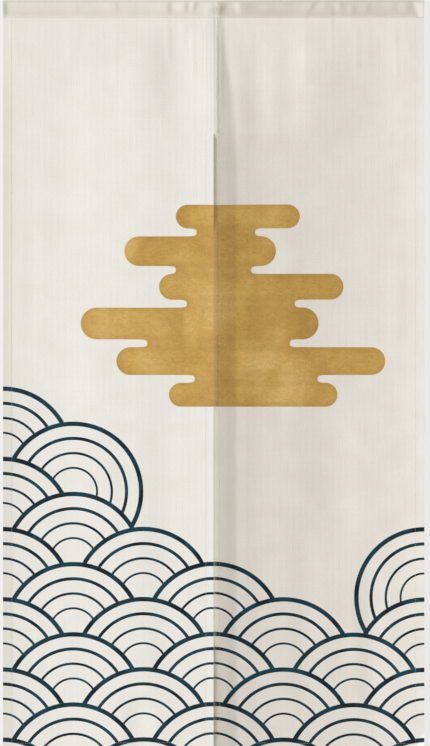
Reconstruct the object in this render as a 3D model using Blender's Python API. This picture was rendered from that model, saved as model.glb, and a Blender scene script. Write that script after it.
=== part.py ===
"""A noren curtain: two cloth panels that hang from a rod pocket, sewn together at the top and split below.

Metres, with +Z up and the front towards -Y. The origin is the middle of the top edge, along the line of the rod.
"""

import bmesh
import bpy
import numpy as np

MM = 0.001

# Driving dimensions
WIDTH = 850 * MM
DROP = 1507 * MM
CLOTH = 1.2 * MM
HEM_CLOTH = 2.4 * MM
SIDE_HEM = 20 * MM
BOTTOM_HEM = 10 * MM
PIECE_GAP = 0.3 * MM

# The rod pocket, a flattened tube that closes at its sewn foot
POCKET_HEIGHT = 34 * MM
POCKET_DEPTH = 20 * MM
POCKET_SEWN_FOOT = 3 * MM
POCKET_CREASE = 0.25 * MM
POCKET_TAPER = 1.1
POCKET_LEAN = 1.0 * MM

# The centre, where the left panel laps over the right one and is sewn to it down to the slit
SEAM_END = 263 * MM
SEAM_X = 5 * MM
LAP = 11 * MM
SEAM_STRIP = 5 * MM
SEAM_LIFT = 0.25 * MM
SEAM_REACH = 150 * MM
SLIT_STEP = 5 * MM
SLIT_SETTLE = 26 * MM
SLIT_TURN_X = 4 * MM

# Below the pocket the cloth hangs straight at first, and has its full shape from here down
SETTLED = 270 * MM

# How far each panel lies behind the rod line once it hangs free: across, behind (mm)
LEFT_HANG = (
    (-425, -2.2),
    (-405, -3.0),
    (-385, -2.9),
    (-130, 3.5),
    (-50, 4.2),
    (-27, 4.8),
    (-6, 5.5),
    (0, 5.8),
    (8, 6.2),
)
RIGHT_HANG = (
    (-6, 4.6),
    (44, 4.2),
    (90, 0.2),
    (138, -2.9),
    (308, -11.0),
    (403, -11.4),
    (425, -10.6),
)

# The dark turned-back edge of the right panel beside the seam and slit: below the top, wide, deep (mm)
TURNED_BACK = (
    (34, 18, 0.6),
    (60, 20, 1.9),
    (110, 24, 3.7),
    (150, 31, 4.8),
    (200, 38, 5.8),
    (263, 44, 6.6),
    (340, 50, 7.4),
    (430, 51, 7.5),
    (520, 50, 7.4),
    (1507, 50, 7.4),
)
TURNED_BACK_SOFT = 0.3

# The right panel's free edge curls behind the left panel: across when flat, across, behind its turned-back edge (mm)
SLIT_CURL = (
    (-6, -1.0, 9.0),
    (-2, 0.6, 5.3),
    (3, 3.8, 1.3),
    (8, 8.7, 0.15),
    (14, 14.3, 0.0),
    (30, 30, 0.0),
)

# Soft folds: across at the top, across at the foot, top, foot, wide on the left, on the right, forward (mm)
LEFT_FOLDS = (
    (-74, -68, 30, 270, 64, 84, 2.2),
    (-160, -168, 40, 330, 46, 46, -0.5),
    (-300, -290, 60, 620, 60, 60, 0.6),
    (-235, -240, 560, 1180, 70, 70, -0.7),
    (-110, -100, 700, 1430, 55, 55, 0.7),
    (-152, -150, 1400, 1560, 42, 42, 1.2),
)
RIGHT_FOLDS = (
    (84, 92, 50, 330, 40, 40, 1.0),
    (205, 200, 34, 330, 60, 110, -2.2),
    (340, 336, 34, 300, 46, 60, 0.8),
    (240, 250, 760, 1160, 90, 60, 1.3),
    (150, 170, 420, 900, 46, 46, -0.6),
    (316, 322, 1080, 1560, 44, 44, 0.9),
    (190, 184, 1020, 1530, 40, 40, 0.5),
)

# Gathers in the front of the pocket: across at the top, across at the foot, wide on the left, on the right, inward (mm),
# and the share of the pocket's height at which each is deepest
LEFT_GATHERS = (
    (-277, -280, 30, 10, 0.4, 0.5),
    (-200, -197, 34, 10, 0.6, 0.3),
    (-165, -164, 30, 16, 0.3, 0.7),
    (-93, -96, 38, 11, 1.1, 0.35),
    (-57, -61, 26, 11, 1.4, 0.4),
    (-38, -46, 14, 10, 1.2, 0.3),
    (-6, -6, 20, 13, 0.9, 0.65),
)
RIGHT_GATHERS = (
    (9, 5, 30, 22, 3.1, 0.5),
    (5, 5, 30, 15, 1.2, 0.9),
    (54, 58, 18, 36, 2.0, 0.4),
    (202, 184, 30, 10, 1.0, 0.35),
    (224, 214, 9, 20, 0.5, 0.4),
    (235, 237, 20, 9, 0.6, 0.75),
    (252, 258, 14, 12, 0.8, 0.3),
    (281, 279, 16, 8, 0.5, 0.7),
    (310, 307, 18, 10, 0.6, 0.4),
    (362, 366, 24, 9, 0.5, 0.6),
    (391, 385, 22, 14, 1.0, 0.35),
)
GATHER_RUN_OUT = 40 * MM

# The pocket's open ends, where the front wall falls back: wide at the top, wide at the foot, back (mm)
LEFT_END = (11, 10, 1.7)
RIGHT_END = (27, 12, 3.4)

# The bottom right corner, creased along a slant: up the side, along the hem, back (mm)
CORNER_CREASE = (34, 18, 4.0)

# Grid lines of the cloth, closest where it bends most: below the top, spacing (mm)
ROW_SPACING = ((34, 14), (120, 24), (250, 12), (300, 22), (420, 55), (700, 78), (1300, 62), (1460, 20))
ROWS_APART_AT_HEM = 4 * MM
ROWS_APART_AT_SEAM_END = 3 * MM

# Columns: how far in from the outer edge and from the edge at the centre (mm), then even ones between them
EDGE_COLUMNS = (4, 9)
LEFT_SLIT_COLUMNS = (3, 8, 14, 31, 46)
RIGHT_SLIT_COLUMNS = (4, 9, 11, 16, 23, 32, 50)
COLUMN_SPACING = 32 * MM
FIRST_FROM_HEM = 12 * MM
LAST_FROM_SLIT_COLUMNS = 14 * MM

# Rings of the pocket
POCKET_COLUMN_SPACING = 34 * MM
POCKET_COLUMNS_APART = 2 * MM
POCKET_SIDE_POINTS = 7
SLANT_REACH = 0.1 * MM

CLOTH_COLOUR = (0.76, 0.73, 0.68, 1.0)
HEADING_COLOUR = (0.72, 0.68, 0.62, 1.0)
CLOTH_ROUGHNESS = 0.92


def clear_scene():
    for old in list(bpy.data.objects):
        bpy.data.objects.remove(old, do_unlink=True)


def ease(t):
    """0 to 1 with a soft start and a soft end."""
    t = np.clip(t, 0.0, 1.0)
    return t * t * (3.0 - 2.0 * t)


def column_of(table, index):
    return np.array([row[index] for row in table], float) * MM


def smooth_curve(table, at, value=1):
    """A smooth line through the table's rows, read at the given places."""
    places = column_of(table, 0)
    values = column_of(table, value)
    slopes = np.gradient(values, places)
    at = np.clip(at, places[0], places[-1])
    row = np.clip(np.searchsorted(places, at) - 1, 0, len(places) - 2)
    step = places[row + 1] - places[row]
    t = (at - places[row]) / step
    rise = t * t * (3.0 - 2.0 * t)
    lead = t * (1.0 - t) ** 2 * step * slopes[row]
    trail = t * t * (1.0 - t) * step * slopes[row + 1]
    return values[row] + (values[row + 1] - values[row]) * rise + lead - trail


def settled(below):
    return ease((below - POCKET_HEIGHT) / (SETTLED - POCKET_HEIGHT))


def in_slit(below, over):
    """0 along the seam, 1 once the slit has opened."""
    return ease((below - SEAM_END) / over)


def pocket_lean(x):
    """The pocket lies a little askew on its rod, nearer the wall at the middle."""
    return POCKET_LEAN * (1.0 - 2.0 * np.abs(x) / (WIDTH / 2.0))


def fold_depth(table, x, below):
    """The folds' share of the depth, where forward is towards -Y."""
    depth = np.zeros_like(x)
    for across_top, across_foot, top, foot, wide_left, wide_right, forward in table:
        along = np.clip((below / MM - top) / (foot - top), 0.0, 1.0)
        aside = x / MM - across_top - (across_foot - across_top) * along
        from_middle = np.clip(np.maximum(-aside / wide_left, aside / wide_right), 0.0, 1.0)
        strength = ease(along / 0.3) * ease((1.0 - along) / 0.4)
        depth -= forward * MM * np.cos(from_middle * np.pi / 2.0) ** 2 * strength
    return depth


def gather_depth(table, x, along):
    """How far the gathers draw the pocket's front wall in. Along runs from 0 at the top to 1 at the foot."""
    depth = np.zeros_like(x)
    for across_top, across_foot, wide_left, wide_right, inward, deepest in table:
        aside = x / MM - across_top - (across_foot - across_top) * along
        from_middle = np.clip(np.maximum(-aside / wide_left, aside / wide_right), 0.0, 1.0)
        strength = 0.6 + 0.4 * np.cos(np.pi * (along - deepest) / 0.6)
        depth += inward * MM * np.cos(from_middle * np.pi / 2.0) ** 2 * strength
    return depth


def gathers_below_pocket(table, x, below):
    """The gathers run out into the panel below the sewn foot."""
    fade = ease(1.0 - (below - POCKET_HEIGHT) / GATHER_RUN_OUT)
    return 0.5 * fade * gather_depth(table, x, np.ones_like(x))


def soft_ramp(t):
    """A straight slope from 0 to 1 with a soft start."""
    soft = TURNED_BACK_SOFT
    t = np.clip(t, 0.0, 1.0)
    return np.where(t < soft, t * t / (2.0 * soft), t - soft / 2.0) / (1.0 - soft / 2.0)


def left_depth(x, below):
    """How far the left panel's front lies behind the rod line."""
    free = settled(below)
    y = (1.0 - free) * pocket_lean(x) + free * smooth_curve(LEFT_HANG, x)
    y += fold_depth(LEFT_FOLDS, x, below)
    return y + gathers_below_pocket(LEFT_GATHERS, x, below)


def left_front(flat, below):
    """Front surface of the left panel: its flat place across and below gives x and y."""
    squeeze = ease((flat + 30 * MM) / (SEAM_X + 30 * MM))
    x = flat - SEAM_X * in_slit(below, SLIT_STEP) * squeeze
    return x, left_depth(x, below)


def turned_back(x, below):
    """The right panel's edge beside the seam and slit, turned back from the light."""
    start = SEAM_X + (SLIT_TURN_X - SEAM_X) * in_slit(below, SLIT_SETTLE)
    wide = smooth_curve(TURNED_BACK, below, 1)
    deep = smooth_curve(TURNED_BACK, below, 2)
    return deep * soft_ramp((start + wide - x) / wide)


def corner_depth(x, below):
    """The bottom right corner, bent back beyond its slanting crease."""
    up_side, along_hem, back = (value * MM for value in CORNER_CREASE)
    beyond = (below - DROP + up_side) / up_side + (x - WIDTH / 2.0 + along_hem) / along_hem - 1.0
    return back * ease(beyond)


def right_depth(x, below):
    """How far the right panel's front lies behind the rod line, leaving out its seam and the slit's curl."""
    free = settled(below)
    y = (1.0 - free) * pocket_lean(x) + free * smooth_curve(RIGHT_HANG, x)
    y += turned_back(x, below)
    y += fold_depth(RIGHT_FOLDS, x, below)
    y += gathers_below_pocket(RIGHT_GATHERS, x, below)
    return y + corner_depth(x, below)


def behind_left(x, below):
    """The front of cloth that lies against the back of the left panel."""
    return left_depth(np.minimum(x, SEAM_X), below) + HEM_CLOTH + PIECE_GAP


def seam_pull(x, below):
    """How far the seam draws the right panel forward, so that it comes out from behind the left one with no step back."""
    at_seam = np.full_like(x, SEAM_X)
    excess = right_depth(at_seam, below) - behind_left(at_seam, below) + SEAM_LIFT
    return excess * ease(1.0 - (x - SEAM_X) / SEAM_REACH)


def right_front(flat, below):
    """Front surface of the right panel: its flat place across and below gives x and y."""
    slit = in_slit(below, SLIT_SETTLE)
    curled_x = np.where(flat < SLIT_CURL[-1][0] * MM, smooth_curve(SLIT_CURL, flat, 1), flat)
    x = flat + slit * (curled_x - flat)
    lapped = right_depth(x, below) - (1.0 - slit) * seam_pull(x, below)
    lapped += slit * smooth_curve(SLIT_CURL, flat, 2)
    under = (1.0 - ease((flat - SEAM_X) / SEAM_STRIP)) * (1.0 - slit)
    return x, lapped + under * (behind_left(x, below) - lapped)


def row_places():
    """Distances below the top of the panel grid's rows."""
    places = [POCKET_HEIGHT + PIECE_GAP]
    for (top, spacing), (end, _) in zip(ROW_SPACING, ROW_SPACING[1:] + ((DROP / MM, 0),)):
        count = max(1, round((end - top) / spacing))
        places += list(np.linspace(top, end, count + 1)[1:] * MM)
    hem_top = DROP - BOTTOM_HEM
    seam_rows = [SEAM_END, SEAM_END + SLIT_STEP / 2.0, SEAM_END + SLIT_STEP]
    clear_of_hem = [p for p in places if abs(p - hem_top) > ROWS_APART_AT_HEM]
    kept = [p for p in clear_of_hem if all(abs(p - s) > ROWS_APART_AT_SEAM_END for s in seam_rows)]
    return np.array(sorted(kept + seam_rows + [hem_top - PIECE_GAP, hem_top + PIECE_GAP]))


def column_places(outer, inner, slit_columns):
    """Flat places across of the panel grid's columns, from the outer edge to the edge at the centre."""
    side = np.sign(inner - outer)
    near_outer = [outer, *(outer + side * step * MM for step in EDGE_COLUMNS)]
    near_inner = [inner, *(inner - side * step * MM for step in slit_columns)]
    outer_hem = outer + side * SIDE_HEM
    inner_hem = inner - side * SIDE_HEM
    hems = [outer_hem - PIECE_GAP, outer_hem + PIECE_GAP, inner_hem - PIECE_GAP, inner_hem + PIECE_GAP]
    start = outer_hem + side * FIRST_FROM_HEM
    end = inner - side * (slit_columns[-1] * MM + LAST_FROM_SLIT_COLUMNS)
    count = round(abs(end - start) / COLUMN_SPACING)
    middle = np.linspace(start, end, count + 1)
    return np.array(sorted([*near_outer, *near_inner, *hems, *middle]))


def hem_weight(flat, below, outer, inner):
    """1 in the side and bottom hems, 0 in the single cloth."""
    in_outer = np.abs(flat - outer) < SIDE_HEM
    in_inner = np.abs(flat - inner) < SIDE_HEM
    in_bottom = below > DROP - BOTTOM_HEM
    return (in_outer | in_inner | in_bottom).astype(float)


def panel(name, outer, inner, slit_columns, front, material):
    """A hanging panel: a grid laid on its front surface, made solid towards the back, thicker in its hems."""
    columns = column_places(outer, inner, slit_columns)
    rows = row_places()
    flat, below = np.meshgrid(columns, rows)
    x, y = front(flat, below)
    mesh = bpy.data.meshes.new(name)
    points = np.stack([x, y, -below], axis=-1).reshape(-1, 3)
    wide = len(columns)
    faces = [
        (row * wide + i, (row + 1) * wide + i, (row + 1) * wide + i + 1, row * wide + i + 1)
        for row in range(len(rows) - 1)
        for i in range(wide - 1)
    ]
    mesh.from_pydata(points.tolist(), [], faces)
    cloth = bpy.data.objects.new(name, mesh)
    bpy.context.collection.objects.link(cloth)
    hems = cloth.vertex_groups.new(name="hems")
    weights = hem_weight(flat, below, outer, inner).reshape(-1)
    for index in np.flatnonzero(weights):
        hems.add([int(index)], 1.0, "REPLACE")
    solid = cloth.modifiers.new("cloth", "SOLIDIFY")
    solid.thickness = HEM_CLOTH
    solid.offset = -1.0
    solid.vertex_group = "hems"
    solid.thickness_vertex_group = CLOTH / HEM_CLOTH
    cloth.data.materials.append(material)
    cloth.data.shade_smooth()
    return cloth


def pocket_half(along):
    """Half the pocket's outer depth, from 0 at the top to 1 at the foot: round above, running in flat to the sewn foot."""
    to_foot = np.clip(along / (1.0 - POCKET_SEWN_FOOT / POCKET_HEIGHT), 0.0, 1.0)
    fullest = 0.5 / (0.5 + POCKET_TAPER)
    most = fullest**0.5 * (1.0 - fullest) ** POCKET_TAPER
    swell = to_foot**0.5 * (1.0 - to_foot) ** POCKET_TAPER / most
    foot_half = (CLOTH + PIECE_GAP / 2.0) * along
    return foot_half + (POCKET_DEPTH / 2.0 - foot_half) * swell


def pocket_outline():
    """The pocket seen from its end: outer and inner rings of (y, z), from the top down the front and up the back."""
    down = (1.0 - np.cos(np.linspace(0.0, np.pi, POCKET_SIDE_POINTS + 1))) / 2.0
    along = np.concatenate([down, down[:0:-1]])
    side = np.concatenate([[0.0], -np.ones(POCKET_SIDE_POINTS), np.ones(POCKET_SIDE_POINTS)])
    inner_along = CLOTH / POCKET_HEIGHT + along * (1.0 - (CLOTH + POCKET_SEWN_FOOT) / POCKET_HEIGHT)
    reach = SLANT_REACH / POCKET_HEIGHT
    slant = (pocket_half(inner_along + reach) - pocket_half(inner_along - reach)) / (2.0 * reach * POCKET_HEIGHT)
    inner_half = np.maximum(pocket_half(inner_along) - CLOTH * np.hypot(1.0, slant), POCKET_CREASE)
    middle = (CLOTH + PIECE_GAP / 2.0) * along
    outer = np.stack([middle + side * pocket_half(along), -POCKET_HEIGHT * along], axis=-1)
    inner = np.stack([middle + side * inner_half, -POCKET_HEIGHT * inner_along], axis=-1)
    return outer, inner


def pocket_columns(start, end, gathers):
    """Places across of the pocket's rings: even ones, and five at each gather."""
    count = round((end - start) / POCKET_COLUMN_SPACING)
    places = set(np.linspace(start, end, count + 1))
    for across_top, across_foot, wide_left, wide_right, _, _ in gathers:
        middle = (across_top + across_foot) / 2.0
        steps = (-wide_left, -wide_left / 2.0, 0.0, wide_right / 2.0, wide_right)
        places |= {(middle + step) * MM for step in steps}
    kept = [start]
    for place in sorted(places):
        if place > kept[-1] + POCKET_COLUMNS_APART and place < end - POCKET_COLUMNS_APART:
            kept.append(place)
    return np.array([*kept, end])


def end_fall(x, along, end_x, table):
    """How far the front wall falls back towards an open end of the pocket."""
    wide_top, wide_foot, back = (value * MM for value in table)
    wide = wide_top + (wide_foot - wide_top) * along
    return back * ease(1.0 - np.abs(x - end_x) / wide)


def ring_points(outline, x, gathers, end_x, end_table):
    """One outline of the pocket at a place across, its front wall drawn in by the gathers and at an open end."""
    across = np.full(len(outline), x)
    along = -outline[:, 1] / POCKET_HEIGHT
    drawn_in = gather_depth(gathers, across, along) + end_fall(across, along, end_x, end_table)
    front = np.arange(len(outline)) <= POCKET_SIDE_POINTS
    y = outline[:, 0] + pocket_lean(across) + front * drawn_in * np.sin(np.pi * along) ** 0.5
    return np.stack([across, y, outline[:, 1]], axis=-1)


def join_rings(mesh, first, second):
    """A band of faces between two rings of the same length."""
    for i in range(len(first)):
        j = (i + 1) % len(first)
        mesh.faces.new((first[i], first[j], second[j], second[i]))


def heading(name, start, end, gathers, end_x, end_table, material):
    """One half of the rod pocket: a flattened tube with open ends and a sewn foot."""
    mesh = bmesh.new()
    outer_rings = []
    inner_rings = []
    for x in pocket_columns(start, end, gathers):
        for rings, outline in zip((outer_rings, inner_rings), pocket_outline()):
            points = ring_points(outline, x, gathers, end_x, end_table)
            rings.append([mesh.verts.new(point) for point in points])
    for rings in (outer_rings, inner_rings):
        for first, second in zip(rings, rings[1:]):
            join_rings(mesh, first, second)
    join_rings(mesh, outer_rings[0], inner_rings[0])
    join_rings(mesh, outer_rings[-1], inner_rings[-1])
    bmesh.ops.recalc_face_normals(mesh, faces=mesh.faces)
    data = bpy.data.meshes.new(name)
    mesh.to_mesh(data)
    mesh.free()
    data.materials.append(material)
    data.shade_smooth()
    tube = bpy.data.objects.new(name, data)
    bpy.context.collection.objects.link(tube)
    return tube


def cloth_material(name, colour):
    material = bpy.data.materials.new(name)
    material.use_nodes = True
    surface = material.node_tree.nodes["Principled BSDF"]
    surface.inputs["Base Color"].default_value = colour
    surface.inputs["Roughness"].default_value = CLOTH_ROUGHNESS
    surface.inputs["Metallic"].default_value = 0.0
    return material


def build():
    clear_scene()
    left_edge = -WIDTH / 2.0
    right_edge = WIDTH / 2.0
    right_inner = SEAM_X - LAP
    left_cotton = cloth_material("left cotton", CLOTH_COLOUR)
    right_cotton = cloth_material("right cotton", CLOTH_COLOUR)
    panel("left_panel", left_edge, SEAM_X, LEFT_SLIT_COLUMNS, left_front, left_cotton)
    panel("right_panel", right_edge, right_inner, RIGHT_SLIT_COLUMNS, right_front, right_cotton)
    left_cloth = cloth_material("left doubled cotton", HEADING_COLOUR)
    right_cloth = cloth_material("right doubled cotton", HEADING_COLOUR)
    heading("left_heading", left_edge, SEAM_X, LEFT_GATHERS, left_edge, LEFT_END, left_cloth)
    heading("right_heading", SEAM_X + PIECE_GAP, right_edge, RIGHT_GATHERS, right_edge, RIGHT_END, right_cloth)


build()
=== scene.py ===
"""A noren curtain dressed for its picture: folded woven panels, rod pocket, sewing and print.

Metres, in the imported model's frame: +Z up, the front towards -Y, the origin at the middle of the top edge.
"""

import bmesh
import bpy
import numpy as np
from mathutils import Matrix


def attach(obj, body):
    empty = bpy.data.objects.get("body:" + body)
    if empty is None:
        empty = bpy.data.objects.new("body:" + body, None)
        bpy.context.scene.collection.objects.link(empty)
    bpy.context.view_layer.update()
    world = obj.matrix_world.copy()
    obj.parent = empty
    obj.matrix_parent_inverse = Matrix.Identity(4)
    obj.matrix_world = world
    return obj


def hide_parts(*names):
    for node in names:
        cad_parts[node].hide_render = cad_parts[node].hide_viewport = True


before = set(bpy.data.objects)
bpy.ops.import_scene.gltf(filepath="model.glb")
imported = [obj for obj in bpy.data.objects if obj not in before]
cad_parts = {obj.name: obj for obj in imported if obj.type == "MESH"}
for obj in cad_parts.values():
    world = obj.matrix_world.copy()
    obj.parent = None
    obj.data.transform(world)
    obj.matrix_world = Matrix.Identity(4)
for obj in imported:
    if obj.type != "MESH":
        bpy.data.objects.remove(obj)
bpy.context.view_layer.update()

MM = 0.001

# Sizes of the sewn curtain
WIDTH = 850 * MM
DROP = 1507 * MM
CLOTH = 1.2 * MM
HEM_CLOTH = 2.4 * MM
SIDE_HEM = 20 * MM
BOTTOM_HEM = 10 * MM
PIECE_GAP = 0.3 * MM

# The rod pocket, a flattened tube that closes at its sewn foot
POCKET_HEIGHT = 34 * MM
POCKET_DEPTH = 20 * MM
POCKET_SEWN_FOOT = 3 * MM
POCKET_CREASE = 0.25 * MM
POCKET_ROUND = 0.5
POCKET_TAPER = 1.1
SLANT_REACH = 0.1 * MM
POCKET_LEAN = 1.0 * MM

# The centre, where the left panel laps over the right one and is sewn to it down to the slit
SEAM_END = 263 * MM
SEAM_X = 5 * MM
LAP = 11 * MM
SEAM_STRIP = 5 * MM
SEAM_LIFT = 0.8 * MM
UNDER_LAP_DIP = 1.6 * MM
SEAM_REACH = 150 * MM
SLIT_STEP = 5 * MM
SLIT_SETTLE = 15 * MM
SLIT_TURN_X = 4 * MM
SQUEEZE_FROM = -30 * MM
SETTLED = 270 * MM

# Edges across: the sides, and the right panel's edge under the lap
LEFT_EDGE = -WIDTH / 2.0
RIGHT_EDGE = WIDTH / 2.0
RIGHT_INNER = SEAM_X - LAP

# How far each panel lies behind the rod line once it hangs free: across, behind (mm)
LEFT_HANG = (
    (-425, -2.2),
    (-405, -3.0),
    (-385, -2.9),
    (-130, 3.5),
    (-50, 4.2),
    (-27, 4.8),
    (-6, 5.5),
    (0, 5.8),
    (8, 6.2),
)
RIGHT_HANG = (
    (-6, 4.6),
    (44, 4.2),
    (90, 0.2),
    (138, -2.9),
    (308, -11.0),
    (403, -11.4),
    (425, -10.6),
)

# The dark turned-back edge of the right panel beside the seam and slit: below the top, wide, deep (mm)
TURNED_BACK = (
    (34, 18, 0.6),
    (60, 20, 1.9),
    (110, 24, 3.7),
    (150, 31, 4.8),
    (200, 38, 5.8),
    (263, 44, 6.6),
    (340, 50, 7.4),
    (430, 51, 7.5),
    (520, 50, 7.4),
    (1507, 50, 7.4),
)
TURNED_BACK_SOFT = 0.3

# The right panel's free edge, curled behind the left panel: across when flat, across, further back (mm)
SLIT_CURL = (
    (-6, -1.0, 9.0),
    (-2, 0.6, 5.3),
    (3, 3.8, 1.3),
    (8, 8.7, 0.15),
    (14, 14.3, 0.0),
    (30, 30, 0.0),
)

# Soft folds: across at the top, across at the foot, top, foot, wide on the left, on the right, forward (mm)
LEFT_FOLDS = (
    (-74, -68, 30, 270, 64, 84, 2.2),
    (-160, -168, 40, 330, 46, 46, -0.5),
    (-300, -290, 60, 620, 60, 60, 0.6),
    (-235, -240, 560, 1180, 70, 70, -0.7),
    (-110, -100, 700, 1430, 55, 55, 0.7),
    (-152, -150, 1400, 1560, 42, 42, 1.2),
)
RIGHT_FOLDS = (
    (84, 92, 50, 330, 40, 40, 1.0),
    (205, 200, 34, 330, 60, 110, -2.2),
    (340, 336, 34, 300, 46, 60, 0.8),
    (240, 250, 760, 1160, 90, 60, 1.3),
    (150, 170, 420, 900, 46, 46, -0.6),
    (316, 322, 1080, 1560, 44, 44, 0.9),
    (190, 184, 1020, 1530, 40, 40, 0.5),
)

# Small drags and creases too slight for the solids, in the same columns
LEFT_CREASES = (
    (-404, -398, 34, 120, 9, 9, -0.15),
    (-296, -286, 34, 150, 13, 13, -0.15),
    (-262, -268, 34, 110, 8, 8, 0.12),
    (-196, -198, 34, 190, 14, 8, -0.2),
    (-92, -86, 34, 150, 16, 8, -0.3),
    (-58, -60, 34, 110, 12, 7, -0.22),
    (-44, -40, 34, 190, 9, 7, -0.3),
    (9, 9, -100, 505, 9, 6, 0.8),
    (-365, -372, 380, 760, 22, 22, 0.2),
    (-210, -190, 880, 1250, 26, 26, -0.2),
    (-330, -338, 1120, 1480, 24, 24, 0.18),
    (-60, -56, 460, 820, 20, 20, 0.15),
)
RIGHT_CREASES = (
    (15, 15, 10, 280, 5, 6, -0.35),
    (70, 78, 34, 150, 12, 12, -0.15),
    (188, 184, 34, 200, 14, 9, -0.2),
    (235, 240, 34, 130, 8, 8, -0.15),
    (286, 292, 34, 180, 12, 9, -0.2),
    (314, 310, 34, 140, 10, 8, -0.15),
    (364, 372, 34, 190, 12, 9, -0.2),
    (388, 394, 34, 120, 12, 9, -0.2),
    (128, 140, 560, 960, 24, 24, 0.2),
    (372, 365, 420, 800, 26, 26, -0.25),
    (280, 296, 1180, 1500, 22, 22, -0.2),
)

# The pocket's gathers: across at the top and foot, wide on the left and right, inward (mm), where deepest
LEFT_GATHERS = (
    (-277, -280, 30, 10, 0.4, 0.5),
    (-200, -197, 34, 10, 0.6, 0.3),
    (-165, -164, 30, 16, 0.3, 0.7),
    (-93, -96, 38, 11, 1.1, 0.35),
    (-57, -61, 26, 11, 1.4, 0.4),
    (-38, -46, 14, 10, 1.2, 0.3),
    (-6, -6, 20, 13, 0.9, 0.65),
)
RIGHT_GATHERS = (
    (9, 5, 30, 22, 3.1, 0.5),
    (5, 5, 30, 15, 1.2, 0.9),
    (54, 58, 18, 36, 2.0, 0.4),
    (202, 184, 30, 10, 1.0, 0.35),
    (224, 214, 9, 20, 0.5, 0.4),
    (235, 237, 20, 9, 0.6, 0.75),
    (252, 258, 14, 12, 0.8, 0.3),
    (281, 279, 16, 8, 0.5, 0.7),
    (310, 307, 18, 10, 0.6, 0.4),
    (362, 366, 24, 9, 0.5, 0.6),
    (391, 385, 22, 14, 1.0, 0.35),
)
GATHER_RUN_OUT = 40 * MM
GATHER_CARRIED = 0.5

# How folds start and end along their length, and how the depth of a gather changes down the pocket
FOLD_START_SHARE = 0.3
FOLD_END_SHARE = 0.4
GATHER_MEAN = 0.6
GATHER_SWING = 0.4
GATHER_REACH = 0.6

# The pocket's open ends, where the front wall falls back: wide at the top, wide at the foot, back (mm)
LEFT_END = (11, 10, 1.7)
RIGHT_END = (27, 12, 3.4)
LEFT_ENDS = (LEFT_GATHERS, LEFT_EDGE, LEFT_END)
RIGHT_ENDS = (RIGHT_GATHERS, RIGHT_EDGE, RIGHT_END)

# The bottom right corner, creased along a slant: up the side, along the hem, back (mm)
CORNER_CREASE = (34, 18, 4.0)

# How open the slit's curled edge is down its length: below the top (mm), share of the full curl
SLIT_OPEN = (
    (263, 0.85),
    (415, 0.85),
    (470, 0.14),
    (1285, 0.14),
    (1350, 0.8),
    (1507, 0.8),
)

# The stage: floor, key light (degrees to the right of the front, up, and wide) and camera
FLOOR_SIZE = 102.0
FLOOR_HEIGHT = -8.0
KEY_ASIDE = 68.0
KEY_UP = 1.0
KEY_WIDE = 16.0
KEY_STRENGTH = 4.9
KEY_COLOUR = (0.965, 1.0, 1.03)
KEY_DISTANCE = 4.0
EYE_DISTANCE = 6.0
EYE_ACROSS = 0.003
EYE_HEIGHT = -0.752
SEEN_HEIGHT = 1.506
SENSOR = 36.0

# The woven surface's grid
CELL_ACROSS = 4 * MM
CELL_DOWN = 5.5 * MM
POCKET_CELL = 2.5 * MM
POCKET_SIDE_CELLS = 20
CELLS_APART = 1.4 * MM
EDGE_STEPS = (0.4, 1.0, 2.0)
FOOT_STEPS = (1.2, 0.5)
HEM_STEP = 0.3 * MM
SEAM_COLUMNS = 4
SLIT_ROWS = 5
RIM_ANGLE = 50.0

# Sewing
STITCH_PITCH = 3.6 * MM
STITCH_LONG = 2.9 * MM
THREAD_HALF = 0.28 * MM
THREAD_LIFT = 0.15 * MM
SIDE_ROW = 18 * MM
BOTTOM_ROW = 8.2 * MM
POCKET_ROW = 31.6 * MM
SEAM_ROWS = (-4.6 * MM, 1.4 * MM)
TACK_ROWS = 4
TACK_TOP = 5 * MM
TACK_PITCH = 0.7 * MM
TACK_PAST_ROWS = 1.5 * MM
ROW_END = 3 * MM
BOTTOM_ROW_END = 4 * MM
SEAM_ROW_END = 2 * MM
STITCH_DENT = 0.03 * MM
STITCH_DENT_WIDE = 2.2 * MM
SURFACE_STEP = 0.5 * MM

# Points along each row that its stitches are spaced over
SIDE_ROW_POINTS = 600
BOTTOM_ROW_POINTS = 240
SEAM_ROW_POINTS = 160
TACK_POINTS = 12
POCKET_ROW_POINTS = 200

# The gold mist's bars: middles of the left and right round ends, below the top, half height (mm)
MIST_BARS = (
    (-52, 150, 436, 24),
    (-150, 96, 506, 30),
    (-84, 236, 578, 26),
    (-236, 180, 652, 32),
    (-168, 318, 728, 28),
    (-66, 226, 796, 24),
)

# The joins that fill part of the slot between two bars, in the same columns
MIST_JOINS = (
    (-20, 70, 468, 10),
    (-62, 62, 544, 10),
    (-40, 150, 612, 10),
    (-120, 140, 692, 10),
    (-24, 196, 764, 10),
)
MIST_BLEND = 24 * MM
PRINT_EDGE = 0.4 * MM

# The wave scales: radius, rows half a radius apart, and the swell that bounds them
SCALE_RADIUS = WIDTH / 6.0
SCALE_ROW = SCALE_RADIUS / 2.0
SWELL_MIDDLE = -1105 * MM
SWELL_RISE = 215 * MM
SWELL_LENGTH = 1150 * MM
SWELL_CREST = -395 * MM

# Lines in each scale: share of the radius, width (mm)
SCALE_LINES = (
    (0.968, 9.0),
    (0.76, 6.5),
    (0.55, 5.0),
    (0.34, 4.2),
)

# A place lies in reach of this many rows of scales
ROWS_IN_REACH = 4

# The print thins out between these distances from the slit's edge, down to this share
PRINT_THIN_AT = 4 * MM
PRINT_FULL_AT = 13 * MM
PRINT_LEAST = 0.64

# How much of the print shows on the back
GOLD_STRUCK_THROUGH = 0.4
TEAL_STRUCK_THROUGH = 0.45

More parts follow.
